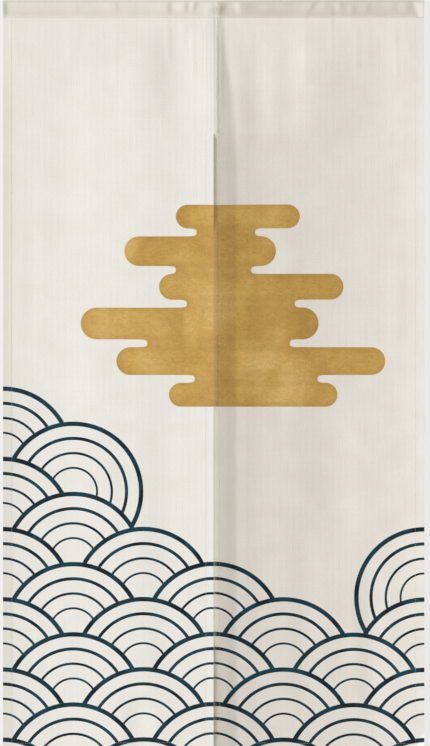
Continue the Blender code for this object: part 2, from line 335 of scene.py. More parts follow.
# The weave: the wave texture's scale, which gives soft ribs 13 mm apart, and slubs to the metre
WEAVE_SCALE = 1.0 / (42 * MM)
WEAVE_SHARE = 0.35
SLUBS_ACROSS = 700.0
SLUBS_ALONG = 26.0
PRINTED_ROUGHNESS = 0.9
PLAIN_ROUGHNESS = 0.92


def ease(t):
    """0 to 1 with a soft start and a soft end."""
    t = np.clip(t, 0.0, 1.0)
    return t * t * (3.0 - 2.0 * t)


def column_of(table, index):
    return np.array([row[index] for row in table], float) * MM


def smooth_curve(table, at, value=1):
    """A smooth line through the table's rows, read at the given places."""
    places = column_of(table, 0)
    values = column_of(table, value)
    slopes = np.gradient(values, places)
    at = np.clip(at, places[0], places[-1])
    row = np.clip(np.searchsorted(places, at) - 1, 0, len(places) - 2)
    step = places[row + 1] - places[row]
    t = (at - places[row]) / step
    rise = t * t * (3.0 - 2.0 * t)
    lead = t * (1.0 - t) ** 2 * step * slopes[row]
    trail = t * t * (1.0 - t) * step * slopes[row + 1]
    return values[row] + (values[row + 1] - values[row]) * rise + lead - trail


def stepped_curve(table, at):
    """A line through the table's rows that is level at each row, so that it never runs past them."""
    places = column_of(table, 0)
    values = column_of(table, 1)
    row = np.clip(np.searchsorted(places, at) - 1, 0, len(places) - 2)
    along = (at - places[row]) / (places[row + 1] - places[row])
    return values[row] + (values[row + 1] - values[row]) * ease(along)


def settled(below):
    return ease((below - POCKET_HEIGHT) / (SETTLED - POCKET_HEIGHT))


def in_slit(below, over):
    """0 along the seam, 1 once the slit has opened."""
    return ease((below - SEAM_END) / over)


def pocket_lean(x):
    """The pocket lies a little askew on its rod, nearer the wall at the middle."""
    return POCKET_LEAN * (1.0 - 2.0 * np.abs(x) / (WIDTH / 2.0))


def fold_depth(table, x, below):
    """The folds' share of the depth, where forward is towards -Y."""
    depth = np.zeros_like(x)
    for across_top, across_foot, top, foot, wide_left, wide_right, forward in table:
        along = np.clip((below / MM - top) / (foot - top), 0.0, 1.0)
        aside = x / MM - across_top - (across_foot - across_top) * along
        from_middle = np.clip(np.maximum(-aside / wide_left, aside / wide_right), 0.0, 1.0)
        strength = ease(along / FOLD_START_SHARE) * ease((1.0 - along) / FOLD_END_SHARE)
        depth -= forward * MM * np.cos(from_middle * np.pi / 2.0) ** 2 * strength
    return depth


def gather_depth(table, x, along):
    """How far the gathers draw the pocket's front wall in. Along is 0 at the top and 1 at the foot."""
    depth = np.zeros_like(x)
    for across_top, across_foot, wide_left, wide_right, inward, deepest in table:
        aside = x / MM - across_top - (across_foot - across_top) * along
        from_middle = np.clip(np.maximum(-aside / wide_left, aside / wide_right), 0.0, 1.0)
        strength = GATHER_MEAN + GATHER_SWING * np.cos(np.pi * (along - deepest) / GATHER_REACH)
        depth += inward * MM * np.cos(from_middle * np.pi / 2.0) ** 2 * strength
    return depth


def gathers_below_pocket(table, x, below):
    """The gathers run out into the panel below the sewn foot."""
    fade = ease(1.0 - (below - POCKET_HEIGHT) / GATHER_RUN_OUT)
    return GATHER_CARRIED * fade * gather_depth(table, x, np.ones_like(x))


def soft_ramp(t):
    """A straight slope from 0 to 1 with a soft start."""
    soft = TURNED_BACK_SOFT
    t = np.clip(t, 0.0, 1.0)
    return np.where(t < soft, t * t / (2.0 * soft), t - soft / 2.0) / (1.0 - soft / 2.0)


def stitch_dents(flat, below, rows_across):
    """The cloth is drawn in along its rows of stitches."""
    from_rows = [np.abs(flat - row) for row in rows_across]
    from_rows.append(np.abs(below - (DROP - BOTTOM_ROW)))
    nearest = np.minimum.reduce(from_rows)
    return STITCH_DENT * ease(1.0 - nearest / STITCH_DENT_WIDE)


def left_depth(x, below):
    """How far the left panel's front lies behind the rod line."""
    free = settled(below)
    y = (1.0 - free) * pocket_lean(x) + free * smooth_curve(LEFT_HANG, x)
    y += fold_depth(LEFT_FOLDS, x, below)
    return y + gathers_below_pocket(LEFT_GATHERS, x, below)


def left_front(flat, below):
    """Front surface of the left panel: its flat place across and below gives x and y."""
    squeeze = ease((flat - SQUEEZE_FROM) / (SEAM_X - SQUEEZE_FROM))
    x = flat - SEAM_X * in_slit(below, SLIT_STEP) * squeeze
    y = left_depth(x, below) + fold_depth(LEFT_CREASES, x, below)
    rows = (LEFT_EDGE + SIDE_ROW, SEAM_X - SIDE_ROW)
    return x, y + stitch_dents(flat, below, rows)


def turned_back(x, below):
    """The right panel's edge beside the seam and slit, turned back from the light."""
    start = SEAM_X + (SLIT_TURN_X - SEAM_X) * in_slit(below, SLIT_SETTLE)
    wide = smooth_curve(TURNED_BACK, below, 1)
    deep = smooth_curve(TURNED_BACK, below, 2)
    return deep * soft_ramp((start + wide - x) / wide)


def corner_depth(x, below):
    """The bottom right corner, bent back beyond its slanting crease."""
    up_side, along_hem, back = (value * MM for value in CORNER_CREASE)
    beyond = (below - DROP + up_side) / up_side + (x - RIGHT_EDGE + along_hem) / along_hem - 1.0
    return back * ease(beyond)


def right_depth(x, below):
    """How far the right panel's front lies behind the rod line, without its seam and the slit's curl."""
    free = settled(below)
    y = (1.0 - free) * pocket_lean(x) + free * smooth_curve(RIGHT_HANG, x)
    y += turned_back(x, below)
    y += fold_depth(RIGHT_FOLDS, x, below) + fold_depth(RIGHT_CREASES, x, below)
    y += gathers_below_pocket(RIGHT_GATHERS, x, below)
    return y + corner_depth(x, below)


def behind_left(x, below):
    """The front of cloth that lies against the back of the left panel."""
    return left_depth(np.minimum(x, SEAM_X), below) + HEM_CLOTH + PIECE_GAP


def seam_pull(x, below):
    """How far the seam draws the right panel forward, so that no step back shows beside the left one."""
    at_seam = np.full_like(x, SEAM_X)
    excess = right_depth(at_seam, below) - behind_left(at_seam, below) + SEAM_LIFT
    return excess * ease(1.0 - (x - SEAM_X) / SEAM_REACH)


def right_front(flat, below):
    """Front surface of the right panel: its flat place across and below gives x and y."""
    slit = in_slit(below, SLIT_SETTLE)
    curled_x = np.where(flat < SLIT_CURL[-1][0] * MM, smooth_curve(SLIT_CURL, flat, 1), flat)
    x = flat + slit * (curled_x - flat)
    lapped = right_depth(x, below) - (1.0 - slit) * seam_pull(x, below)
    open_share = stepped_curve(SLIT_OPEN, below) / MM
    lapped += slit * open_share * smooth_curve(SLIT_CURL, flat, 2)
    under = (1.0 - np.clip((flat - SEAM_X) / SEAM_STRIP, 0.0, 1.0)) * (1.0 - slit)
    hidden = behind_left(x, below) + UNDER_LAP_DIP * np.clip((SEAM_X - x) / SEAM_STRIP, 0.0, 1.0)
    y = lapped + under * (hidden - lapped)
    rows = (RIGHT_INNER + SIDE_ROW, RIGHT_EDGE - SIDE_ROW)
    return x, y + (1.0 - under) * stitch_dents(flat, below, rows)


def deselect_all():
    for chosen in list(bpy.context.selected_objects):
        chosen.select_set(False)


def add_piece(name, mesh, materials):
    """A piece of the curtain, at the origin, unturned and unscaled."""
    for material in materials:
        mesh.materials.append(material)
    mesh.shade_smooth()
    piece = bpy.data.objects.new(name, mesh)
    bpy.context.collection.objects.link(piece)
    return piece


def sharpen_rims(piece):
    """The cut edges stay crisp, so that they don't catch the light as a rounded rim would."""
    piece.data.set_sharp_from_angle(angle=np.radians(RIM_ANGLE))


def with_even_places(special, low, high, cell):
    """The special places between two ends, and even ones wherever none of them is near, in order."""
    even = np.linspace(low, high, round((high - low) / cell) + 1)
    kept = [place for place in even[1:-1] if min(abs(place - other) for other in special) > CELLS_APART]
    return np.array(sorted([low, *kept, *special, high]))


def panel_columns(outer, inner):
    """Flat places across: even ones, and close ones at the edges, the hems' folds and the seam."""
    low, high = sorted((outer, inner))
    special = [low + step * MM for step in EDGE_STEPS] + [high - step * MM for step in EDGE_STEPS]
    for fold in (low + SIDE_HEM, high - SIDE_HEM):
        special += [fold - HEM_STEP, fold + HEM_STEP]
    at_seam = np.linspace(SEAM_X, SEAM_X + SEAM_STRIP, SEAM_COLUMNS)
    special += [place for place in at_seam if low < place < high]
    return with_even_places(special, low, high, CELL_ACROSS)


def panel_rows():
    """Places below the top: even ones, and close ones at the seam's end and the bottom hem."""
    hem_top = DROP - BOTTOM_HEM
    special = [hem_top - HEM_STEP, hem_top + HEM_STEP] + [DROP - step * MM for step in FOOT_STEPS]
    special += list(np.linspace(SEAM_END, SEAM_END + SLIT_STEP, SLIT_ROWS))
    return with_even_places(special, POCKET_HEIGHT + PIECE_GAP, DROP, CELL_DOWN)


def folded_grid(name, flat, below, front):
    """A fine grid on a panel's folds, with the cloth's flat places as its map."""
    x, y = front(flat, below)
    points = np.stack([x, y, -below], axis=-1).reshape(-1, 3)
    down, wide = flat.shape
    first = (np.arange(down - 1)[:, None] * wide + np.arange(wide - 1)).reshape(-1)
    faces = np.stack([first, first + wide, first + wide + 1, first + 1], axis=-1)
    mesh = bpy.data.meshes.new(name)
    mesh.from_pydata(points.tolist(), [], faces.tolist())
    layer = mesh.uv_layers.new(name="cloth")
    corners = np.stack([flat, -below], axis=-1).reshape(-1, 2)[faces.reshape(-1)]
    layer.data.foreach_set("uv", corners.astype(np.float32).reshape(-1))
    return mesh


def thicken(piece, in_hem):
    """Gives a sheet its thickness to the back, doubled where it lies in a hem."""
    hems = piece.vertex_groups.new(name="hems")
    hems.add(np.flatnonzero(in_hem).tolist(), 1.0, "REPLACE")
    solid = piece.modifiers.new("cloth", "SOLIDIFY")
    solid.thickness = HEM_CLOTH
    solid.offset = -1.0
    solid.vertex_group = "hems"
    solid.thickness_vertex_group = CLOTH / HEM_CLOTH
    solid.material_offset = 1
    deselect_all()
    piece.select_set(True)
    bpy.context.view_layer.objects.active = piece
    bpy.ops.object.modifier_apply(modifier="cloth")


def woven_panel(name, outer, inner, front, printed, reverse):
    """A panel as one thin woven sheet on its folds, doubled in its hems."""
    flat, below = np.meshgrid(panel_columns(outer, inner), panel_rows())
    piece = add_piece(name, folded_grid(name, flat, below, front), (printed, reverse))
    in_side = np.minimum(np.abs(flat - outer), np.abs(flat - inner)) < SIDE_HEM
    thicken(piece, (in_side | (below > DROP - BOTTOM_HEM)).reshape(-1))
    sharpen_rims(piece)
    return piece


def pocket_half(along):
    """Half the pocket's outer depth down its height: round above, running in flat to the sewn foot."""
    to_foot = np.clip(along / (1.0 - POCKET_SEWN_FOOT / POCKET_HEIGHT), 0.0, 1.0)
    fullest = POCKET_ROUND / (POCKET_ROUND + POCKET_TAPER)
    most = fullest**POCKET_ROUND * (1.0 - fullest) ** POCKET_TAPER
    swell = to_foot**POCKET_ROUND * (1.0 - to_foot) ** POCKET_TAPER / most
    foot_half = (CLOTH + PIECE_GAP / 2.0) * along
    return foot_half + (POCKET_DEPTH / 2.0 - foot_half) * swell


def pocket_outline():
    """The pocket from its end: outer and inner rings of (y, z), down the front and up the back."""
    down = (1.0 - np.cos(np.linspace(0.0, np.pi, POCKET_SIDE_CELLS + 1))) / 2.0
    along = np.concatenate([down, down[:0:-1]])
    side = np.concatenate([[0.0], -np.ones(POCKET_SIDE_CELLS), np.ones(POCKET_SIDE_CELLS)])
    inner_along = CLOTH / POCKET_HEIGHT + along * (1.0 - (CLOTH + POCKET_SEWN_FOOT) / POCKET_HEIGHT)
    reach = SLANT_REACH / POCKET_HEIGHT
    widening = pocket_half(inner_along + reach) - pocket_half(inner_along - reach)
    slant = widening / (2.0 * reach * POCKET_HEIGHT)
    inner_half = np.maximum(pocket_half(inner_along) - CLOTH * np.hypot(1.0, slant), POCKET_CREASE)
    middle = (CLOTH + PIECE_GAP / 2.0) * along
    outer = np.stack([middle + side * pocket_half(along), -POCKET_HEIGHT * along], axis=-1)
    inner = np.stack([middle + side * inner_half, -POCKET_HEIGHT * inner_along], axis=-1)
    return outer, inner


def end_fall(x, along, end_x, table):
    """How far the front wall falls back towards an open end of the pocket."""
    wide_top, wide_foot, back = (value * MM for value in table)
    wide = wide_top + (wide_foot - wide_top) * along
    return back * ease(1.0 - np.abs(x - end_x) / wide)


def pocket_wall(outline, x, gathers, end_x, end_table):
    """A wall of the pocket as rings of points, drawn in by the gathers and at its open end."""
    across = np.repeat(x[:, None], len(outline), axis=1)
    along = np.broadcast_to(-outline[:, 1] / POCKET_HEIGHT, across.shape)
    drawn_in = gather_depth(gathers, across, along) + end_fall(across, along, end_x, end_table)
    from_row = np.abs(along * POCKET_HEIGHT - POCKET_ROW)
    drawn_in = drawn_in + STITCH_DENT * ease(1.0 - from_row / STITCH_DENT_WIDE)
    front = np.arange(len(outline)) <= POCKET_SIDE_CELLS
    y = outline[:, 0] + pocket_lean(across) + front * drawn_in * np.sin(np.pi * along) ** 0.5
    z = np.broadcast_to(outline[:, 1], across.shape)
    return np.stack([across, y, z], axis=-1)


def ring_lengths(points):
    """Length round a ring from its first point to each point, closed."""
    steps = np.linalg.norm(np.diff(np.vstack([points, points[:1]]), axis=0), axis=1)
    return np.concatenate([[0.0], np.cumsum(steps)])


def join_rings(mesh, rings, places, around):
    """Faces between two rings at two places across, with the cloth's flat places as their map."""
    layer = mesh.loops.layers.uv.active
    first, second = rings
    first_x, second_x = places
    for i in range(len(first)):
        j = (i + 1) % len(first)
        face = mesh.faces.new((first[i], first[j], second[j], second[i]))
        corners = (
            (first_x, -around[i]),
            (first_x, -around[i + 1]),
            (second_x, -around[i + 1]),
            (second_x, -around[i]),
        )
        for loop, corner in zip(face.loops, corners):
            loop[layer].uv = corner


def sewn_pocket(name, start, end, gathers, end_x, end_table, material):
    """One half of the rod pocket as doubled cloth: a flattened tube with open ends and a sewn foot."""
    x = np.linspace(start, end, round((end - start) / POCKET_CELL) + 1)
    walls = [pocket_wall(outline, x, gathers, end_x, end_table) for outline in pocket_outline()]
    around = ring_lengths(pocket_outline()[0])
    mesh = bmesh.new()
    mesh.loops.layers.uv.new("cloth")
    rings = [[[mesh.verts.new(point) for point in ring] for ring in wall] for wall in walls]
    for wall in rings:
        for i in range(len(x) - 1):
            join_rings(mesh, (wall[i], wall[i + 1]), (x[i], x[i + 1]), around)
    for i in (0, -1):
        join_rings(mesh, (rings[0][i], rings[1][i]), (x[i], x[i]), around)
    bmesh.ops.recalc_face_normals(mesh, faces=mesh.faces)
    data = bpy.data.meshes.new(name)
    mesh.to_mesh(data)
    mesh.free()
    piece = add_piece(name, data, (material,))
    sharpen_rims(piece)
    return piece


def unit(vectors):
    return vectors / np.linalg.norm(vectors, axis=-1, keepdims=True)


def read_along(steps, values, at):
    """Rows of values along a line, read at the given lengths."""
    return np.stack([np.interp(at, steps, values[:, i]) for i in range(3)], axis=-1)


def stitches_of_row(places, outward):
    """Each stitch of a row: its middle, the ways out and across, and its two ends."""
    steps = np.concatenate([[0.0], np.cumsum(np.linalg.norm(np.diff(places, axis=0), axis=1))])
    middles = (np.arange(int(steps[-1] // STITCH_PITCH)) + 0.5) * STITCH_PITCH
    at = read_along(steps, places, middles)
    out = unit(read_along(steps, outward, middles))
    tip = read_along(steps, places, middles + STITCH_LONG / 2.0)
    tail = read_along(steps, places, middles - STITCH_LONG / 2.0)
    return zip(at, out, unit(np.cross(tip - tail, out)), tip, tail)


def stitches(name, rows, material):
    """Rows of lockstitch as one mesh. A row is its places along the cloth and the way out of the cloth."""
    points, faces = [], []
    for places, outward in rows:
        for middle, up, across, tip, tail in stitches_of_row(places, outward):
            first = len(points)
            crest = middle + up * THREAD_LIFT
            points += [tail, tip]
            points += [crest + across * THREAD_HALF, crest + up * THREAD_HALF]
            points += [crest - across * THREAD_HALF, crest - up * THREAD_HALF]
            for i in range(4):
                j = (i + 1) % 4
                faces.append((first, first + 2 + i, first + 2 + j))
                faces.append((first + 1, first + 2 + j, first + 2 + i))
    mesh = bpy.data.meshes.new(name)
    mesh.from_pydata([tuple(point) for point in points], [], faces)
    mesh.validate()
    piece = add_piece(name, mesh, (material,))
    turned_out = bmesh.new()
    turned_out.from_mesh(piece.data)
    bmesh.ops.recalc_face_normals(turned_out, faces=turned_out.faces)
    turned_out.to_mesh(piece.data)
    turned_out.free()
    return piece


def cloth_line(front, flat, below, thickness=0.0):
    """A line over a panel's surface, and the way out of the cloth. Thickness takes it to the back."""
    x, y = front(flat, below)
    x_across, y_across = front(flat + SURFACE_STEP, below)
    x_down, y_down = front(flat, below + SURFACE_STEP)
    places = np.stack([x, y, -below], axis=-1)
    across = np.stack([x_across, y_across, -below], axis=-1) - places
    down = np.stack([x_down, y_down, -below - SURFACE_STEP], axis=-1) - places
    outward = unit(np.cross(down, across))
    outward = outward * -np.sign(outward[:, 1:2])
    if thickness:
        return places - outward * thickness, -outward
    return places, outward


def hem_rows(front, outer, inner):
    """The rows of stitches that hold a panel's side and bottom hems, on its front and back."""
    side = np.sign(inner - outer)
    below = np.linspace(POCKET_HEIGHT + ROW_END, DROP - ROW_END, SIDE_ROW_POINTS)
    across = np.linspace(outer + side * BOTTOM_ROW_END, inner - side * BOTTOM_ROW_END, BOTTOM_ROW_POINTS)
    rows = []
    for thickness in (0.0, HEM_CLOTH):
        rows.append(cloth_line(front, np.full_like(below, outer + side * SIDE_ROW), below, thickness))
        rows.append(cloth_line(front, np.full_like(below, inner - side * SIDE_ROW), below, thickness))
        rows.append(cloth_line(front, across, np.full_like(across, DROP - BOTTOM_ROW), thickness))
    return rows


def seam_rows():
    """The rows that join the panels from the pocket to the slit, and the short tack that ends them."""
    below = np.linspace(POCKET_HEIGHT + SEAM_ROW_END, SEAM_END - SEAM_ROW_END, SEAM_ROW_POINTS)
    rows = [cloth_line(left_front, np.full_like(below, at), below) for at in SEAM_ROWS]
    across = np.linspace(SEAM_ROWS[0] - TACK_PAST_ROWS, SEAM_ROWS[1] + TACK_PAST_ROWS, TACK_POINTS)
    for i in range(TACK_ROWS):
        place = SEAM_END - TACK_TOP + i * TACK_PITCH
        rows.append(cloth_line(left_front, across, np.full_like(across, place)))
    return rows


def pocket_rows(start, end, gathers, end_x, end_table):
    """The row of stitches along the pocket's sewn foot, on its front and back."""
    x = np.linspace(start + ROW_END, end - ROW_END, POCKET_ROW_POINTS)
    outline = pocket_outline()[0]
    wall = pocket_wall(outline, x, gathers, end_x, end_table)
    front = slice(1, POCKET_SIDE_CELLS + 1)
    back = slice(POCKET_SIDE_CELLS + 1, None)
    rows = []
    for turn, part in ((-1.0, front), (1.0, back)):
        side = wall[:, part]
        order = np.argsort(-side[0, :, 2])
        y = [np.interp(POCKET_ROW, -ring[order, 2], ring[order, 1]) for ring in side]
        places = np.stack([x, np.array(y), np.full_like(x, -POCKET_ROW)], axis=-1)
        rows.append((places, np.tile((0.0, turn, 0.0), (len(x), 1))))
    return rows


def to_linear(colour):
    """An sRGB hex colour as linear RGBA."""
    parts = np.array([int(colour[i : i + 2], 16) for i in (1, 3, 5)]) / 255.0
    linear = np.where(parts <= 0.04045, parts / 12.92, ((parts + 0.055) / 1.055) ** 2.4)
    return (*linear.tolist(), 1.0)


def add_node(tree, kind, inputs=None, output=0, **settings):
    """A shader node, each input set to a value or linked to a socket. It gives back an output socket."""
    node = tree.nodes.new(kind)
    for name, value in settings.items():
        setattr(node, name, value)
    for name, value in (inputs or {}).items():
        if isinstance(value, bpy.types.NodeSocket):
            tree.links.new(value, node.inputs[name])
        else:
            node.inputs[name].default_value = value
    return node.outputs[output] if node.outputs else None


def ramp(tree, value, stops):
    """A colour ramp over a value: place, hex colour."""
    socket = add_node(tree, "ShaderNodeValToRGB", {0: value})
    elements = socket.node.color_ramp.elements
    while len(elements) > 1:
        elements.remove(elements[-1])
    for i, (place, colour) in enumerate(stops):
        element = elements[0] if i == 0 else elements.new(place)
        element.position = place
        element.color = to_linear(colour)
    return socket


def empty_material(name):
    material = bpy.data.materials.new(name)
    material.use_nodes = True
    tree = material.node_tree
    tree.nodes.clear()
    return material, tree


def cloth_places(tree):
    """The cloth's own flat places in metres: the whole vector, across and up."""
    places = add_node(tree, "ShaderNodeUVMap", uv_map="cloth")
    split = add_node(tree, "ShaderNodeSeparateXYZ", {0: places})
    return places, split, split.node.outputs[1]


def mist_cover(tree, across, up):
    """1 inside the gold mist, rounded bars run together, and the distance from its edge, below 0 inside."""
    distance = None
    for left, right, below, half_height in MIST_BARS + MIST_JOINS:
        middle = (left + right) / 2.0 * MM
        half_long = (right - left) / 2.0 * MM
        aside = add_node(tree, "ShaderNodeMath", {0: across, 1: middle}, operation="SUBTRACT")
        aside = add_node(tree, "ShaderNodeMath", {0: aside}, operation="ABSOLUTE")
        aside = add_node(tree, "ShaderNodeMath", {0: aside, 1: half_long}, operation="SUBTRACT")
        aside = add_node(tree, "ShaderNodeMath", {0: aside, 1: 0.0}, operation="MAXIMUM")
        above = add_node(tree, "ShaderNodeMath", {0: up, 1: below * MM}, operation="ADD")
        reach = add_node(tree, "ShaderNodeCombineXYZ", {0: aside, 1: above})
        reach = add_node(tree, "ShaderNodeVectorMath", {0: reach}, output=1, operation="LENGTH")
        reach = add_node(tree, "ShaderNodeMath", {0: reach, 1: half_height * MM}, operation="SUBTRACT")
        if distance is None:
            distance = reach
        else:
            run_together = {0: distance, 1: reach, 2: MIST_BLEND}
            distance = add_node(tree, "ShaderNodeMath", run_together, operation="SMOOTH_MIN")
    edge = {"Value": distance, "From Min": PRINT_EDGE, "From Max": -PRINT_EDGE}
    return add_node(tree, "ShaderNodeMapRange", edge), distance


def scale_row(tree, across, up, row):
    """A row of scales, counted up from the lowest in reach: distance from a scale's middle, 1 inside it."""
    lowest = add_node(tree, "ShaderNodeMath", {0: up, 1: SCALE_RADIUS}, operation="SUBTRACT")
    number = add_node(tree, "ShaderNodeMath", {0: lowest, 1: SCALE_ROW}, operation="DIVIDE")
    number = add_node(tree, "ShaderNodeMath", {0: number}, operation="CEIL")
    number = add_node(tree, "ShaderNodeMath", {0: number, 1: float(row)}, operation="ADD")
    height = add_node(tree, "ShaderNodeMath", {0: number, 1: SCALE_ROW}, operation="MULTIPLY")
    odd = add_node(tree, "ShaderNodeMath", {0: number, 1: 1.0}, operation="PINGPONG")
    shift = add_node(tree, "ShaderNodeMath", {0: odd, 1: SCALE_RADIUS}, operation="MULTIPLY")
    moved = add_node(tree, "ShaderNodeMath", {0: across, 1: shift}, operation="SUBTRACT")
    count = add_node(tree, "ShaderNodeMath", {0: moved, 1: 2.0 * SCALE_RADIUS}, operation="DIVIDE")
    count = add_node(tree, "ShaderNodeMath", {0: count}, operation="ROUND")
    from_shift = {0: count, 1: 2.0 * SCALE_RADIUS, 2: shift}
    middle = add_node(tree, "ShaderNodeMath", from_shift, operation="MULTIPLY_ADD")
    aside = add_node(tree, "ShaderNodeMath", {0: across, 1: middle}, operation="SUBTRACT")
    above = add_node(tree, "ShaderNodeMath", {0: up, 1: height}, operation="SUBTRACT")
    reach = add_node(tree, "ShaderNodeCombineXYZ", {0: aside, 1: above})
    reach = add_node(tree, "ShaderNodeVectorMath", {0: reach}, output=1, operation="LENGTH")
    inside = add_node(tree, "ShaderNodeMath", {0: reach, 1: SCALE_RADIUS}, operation="LESS_THAN")
    turn = add_node(tree, "ShaderNodeMath", {0: middle, 1: SWELL_CREST}, operation="SUBTRACT")
    turn = add_node(tree, "ShaderNodeMath", {0: turn, 1: 2.0 * np.pi / SWELL_LENGTH}, operation="MULTIPLY")
    turn = add_node(tree, "ShaderNodeMath", {0: turn}, operation="COSINE")
    swell = {0: turn, 1: SWELL_RISE, 2: SWELL_MIDDLE}
    swell = add_node(tree, "ShaderNodeMath", swell, operation="MULTIPLY_ADD")
    under = add_node(tree, "ShaderNodeMath", {0: height, 1: swell}, operation="LESS_THAN")
    shown = add_node(tree, "ShaderNodeMath", {0: inside, 1: under}, operation="MULTIPLY")
    return reach, shown


def wave_lines(tree, across, up):
    """1 on the lines of the wave scales, each scale lying over those of the rows above it."""
    rows = [scale_row(tree, across, up, row) for row in range(ROWS_IN_REACH)]
    reach, cover = rows[-1]
    for nearer, shown in reversed(rows[:-1]):
        blend = {"Factor": shown, "A": reach, "B": nearer}
        reach = add_node(tree, "ShaderNodeMix", blend, data_type="FLOAT")
        cover = add_node(tree, "ShaderNodeMath", {0: cover, 1: shown}, operation="MAXIMUM")
    lines = None
    for share, width in SCALE_LINES:
        band = {0: reach, 1: share * SCALE_RADIUS, 2: width * MM / 2.0}
        line = add_node(tree, "ShaderNodeMath", band, operation="COMPARE")
        if lines is None:
            lines = line
        else:
            lines = add_node(tree, "ShaderNodeMath", {0: lines, 1: line}, operation="MAXIMUM")
    return add_node(tree, "ShaderNodeMath", {0: lines, 1: cover}, operation="MULTIPLY")


def gold_ink(tree, places, inside):
    """The mist's clouded gold: pale and deep patches some 100 mm across, a fine crinkle, a deeper rim."""
    cloud_look = {"Vector": places, "Scale": 5.5, "Detail": 6.0, "Roughness": 0.6, "Distortion": 0.5}
    cloud = add_node(tree, "ShaderNodeTexNoise", cloud_look)
    stops = ((0.36, "#BA9148"), (0.47, "#C9A156"), (0.56, "#D4AE63"), (0.68, "#E0BF7B"))
    colour = ramp(tree, cloud, stops)
    leaning = {"Vector": places, "Rotation": (0.0, 0.0, 0.9), "Scale": (1.0, 2.2, 1.0)}
    leaning = add_node(tree, "ShaderNodeMapping", leaning)
    crinkle_look = {"Vector": leaning, "Scale": 95.0, "Detail": 4.0, "Roughness": 0.65, "Distortion": 1.4}
    crinkle = add_node(tree, "ShaderNodeTexNoise", crinkle_look)
    grain = ramp(tree, crinkle, ((0.32, "#E2DCD0"), (0.55, "#F6F4F0"), (0.72, "#FFFFFF")))
    look = {"Factor": 0.9, "A": colour, "B": grain}
    colour = add_node(tree, "ShaderNodeMix", look, output=2, data_type="RGBA", blend_type="MULTIPLY")
    rim = {"Value": inside, "From Min": -0.012, "From Max": 0.0, "To Max": 0.35}
    rim = add_node(tree, "ShaderNodeMapRange", rim)
    look = {"Factor": rim, "A": colour, "B": to_linear("#A9813C")}
    return add_node(tree, "ShaderNodeMix", look, output=2, data_type="RGBA")


def weave_relief(tree, places):
    """Height of the woven surface, uneven ribs both ways under the yarn's slubs, and the slubs alone."""
    ribs = {"Vector": places, "Scale": WEAVE_SCALE, "Distortion": 1.2, "Detail": 2.0, "Detail Scale": 3.0}
    warp = add_node(tree, "ShaderNodeTexWave", ribs, output=1, bands_direction="X")
    weft = add_node(tree, "ShaderNodeTexWave", ribs, output=1, bands_direction="Y")
    threads = add_node(tree, "ShaderNodeMath", {0: warp, 1: weft}, operation="MULTIPLY")
    streaks = []
    for stretch in ((SLUBS_ACROSS, SLUBS_ALONG, 1.0), (SLUBS_ALONG, SLUBS_ACROSS, 1.0)):
        stretched = add_node(tree, "ShaderNodeMapping", {"Vector": places, "Scale": stretch})
        noise = {"Vector": stretched, "Scale": 1.0, "Detail": 2.0}
        streaks.append(add_node(tree, "ShaderNodeTexNoise", noise))
    slubs = add_node(tree, "ShaderNodeMath", {0: streaks[0], 1: streaks[1]}, operation="ADD")
    raised = {0: threads, 1: WEAVE_SHARE, 2: slubs}
    return add_node(tree, "ShaderNodeMath", raised, operation="MULTIPLY_ADD"), slubs


def cotton_colour(tree, places, slubs, pale, deep):
    """Unbleached cotton and linen: off-white, with darker slubs and faint clouds some 40 mm across."""
    clouds = {"Vector": places, "Scale": 16.0, "Detail": 4.0, "Roughness": 0.6}
    clouds = add_node(tree, "ShaderNodeTexNoise", clouds)
    colour = ramp(tree, clouds, ((0.36, deep), (0.62, pale)))
    streaks = ramp(tree, slubs, ((0.38, "#EFECE8"), (0.62, "#FFFFFF")))
    look = {"Factor": 0.7, "A": colour, "B": streaks}
    return add_node(tree, "ShaderNodeMix", look, output=2, data_type="RGBA", blend_type="MULTIPLY")


def woven_surface(tree, colour, relief, roughness):
    """Cotton's matt, slightly fuzzy surface over the given colour, with the weave raised."""
    bump = {"Height": relief, "Strength": 0.35, "Distance": 0.0005}
    bump = add_node(tree, "ShaderNodeBump", bump)
    look = {
        "Base Color": colour,
        "Roughness": roughness,
        "IOR": 1.5,
        "Specular IOR Level": 0.25,
        "Sheen Weight": 0.08,
        "Sheen Roughness": 0.5,
        "Normal": bump,
    }
    surface = add_node(tree, "ShaderNodeBsdfPrincipled", look)
    add_node(tree, "ShaderNodeOutputMaterial", {"Surface": surface})


